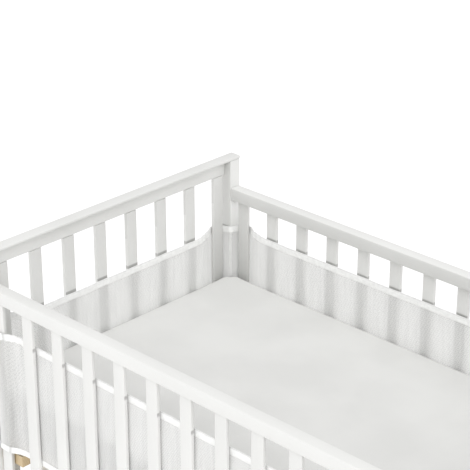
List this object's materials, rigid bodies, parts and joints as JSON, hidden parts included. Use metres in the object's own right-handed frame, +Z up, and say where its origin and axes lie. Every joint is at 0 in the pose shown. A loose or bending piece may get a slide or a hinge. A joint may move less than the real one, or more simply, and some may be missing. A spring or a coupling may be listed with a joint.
{
  "type": "crib bumper on crib",
  "caption": "Knitted mesh crib liner with bound edges and string ties, woven round the slats at the corners of a slatted wooden crib and tucked down beside its mattress.",
  "frame": {"origin": "on the floor under the middle of the crib", "axes": "+Z up; X runs along the crib with the head end at -X; Y across it with the back side at +Y"},
  "size_m": [1.3664, 0.742, 0.973],
  "materials": {
    "white_knitted_mesh": "soft white open warp-knit mesh, half see-through",
    "white_binding": "white woven tape folded over the mesh's edge and stitched",
    "white_tie": "white soft cord",
    "white_cotton_sheet": "white cotton sheet, matt",
    "plain_board": "plain sanded board",
    "white_painted_wood": "white satin paint"
  },
  "bodies": {
    "root": {"back_bottom_rail": "white_painted_wood", "back_slat_01": "white_painted_wood", "back_slat_02": "white_painted_wood", "back_slat_03": "white_painted_wood", "back_slat_04": "white_painted_wood", "back_slat_05": "white_painted_wood", "back_slat_06": "white_painted_wood", "back_slat_07": "white_painted_wood", "back_slat_08": "white_painted_wood", "back_slat_09": "white_painted_wood", "back_slat_10": "white_painted_wood", "back_slat_11": "white_painted_wood", "back_slat_12": "white_painted_wood", "back_slat_13": "white_painted_wood", "back_slat_14": "white_painted_wood", "back_slat_15": "white_painted_wood", "back_top_rail": "white_painted_wood", "binding_bottom": "white_binding", "binding_top": "white_binding", "foot_end": "white_painted_wood", "front_bottom_rail": "white_painted_wood", "front_slat_01": "white_painted_wood", "front_slat_02": "white_painted_wood", "front_slat_03": "white_painted_wood", "front_slat_04": "white_painted_wood", "front_slat_05": "white_painted_wood", "front_slat_06": "white_painted_wood", "front_slat_07": "white_painted_wood", "front_slat_08": "white_painted_wood", "front_slat_09": "white_painted_wood", "front_slat_10": "white_painted_wood", "front_slat_11": "white_painted_wood", "front_slat_12": "white_painted_wood", "front_slat_13": "white_painted_wood", "front_slat_14": "white_painted_wood", "front_slat_15": "white_painted_wood", "front_top_rail": "white_painted_wood", "head_bottom_rail": "white_painted_wood", "head_cap": "white_painted_wood", "head_fascia": "white_painted_wood", "head_slat_01": "white_painted_wood", "head_slat_02": "white_painted_wood", "head_slat_03": "white_painted_wood", "head_slat_04": "white_painted_wood", "head_slat_05": "white_painted_wood", "head_slat_06": "white_painted_wood", "head_slat_07": "white_painted_wood", "head_slat_08": "white_painted_wood", "liner_mesh": "white_knitted_mesh", "mattress": "white_cotton_sheet", "mattress_board": "plain_board", "post_foot_back": "white_painted_wood", "post_foot_front": "white_painted_wood", "post_head_back": "white_painted_wood", "post_head_front": "white_painted_wood", "tie_far_a": "white_tie", "tie_far_b": "white_tie", "tie_near_a": "white_tie", "tie_near_b": "white_tie"}
  },
  "joints": []
}
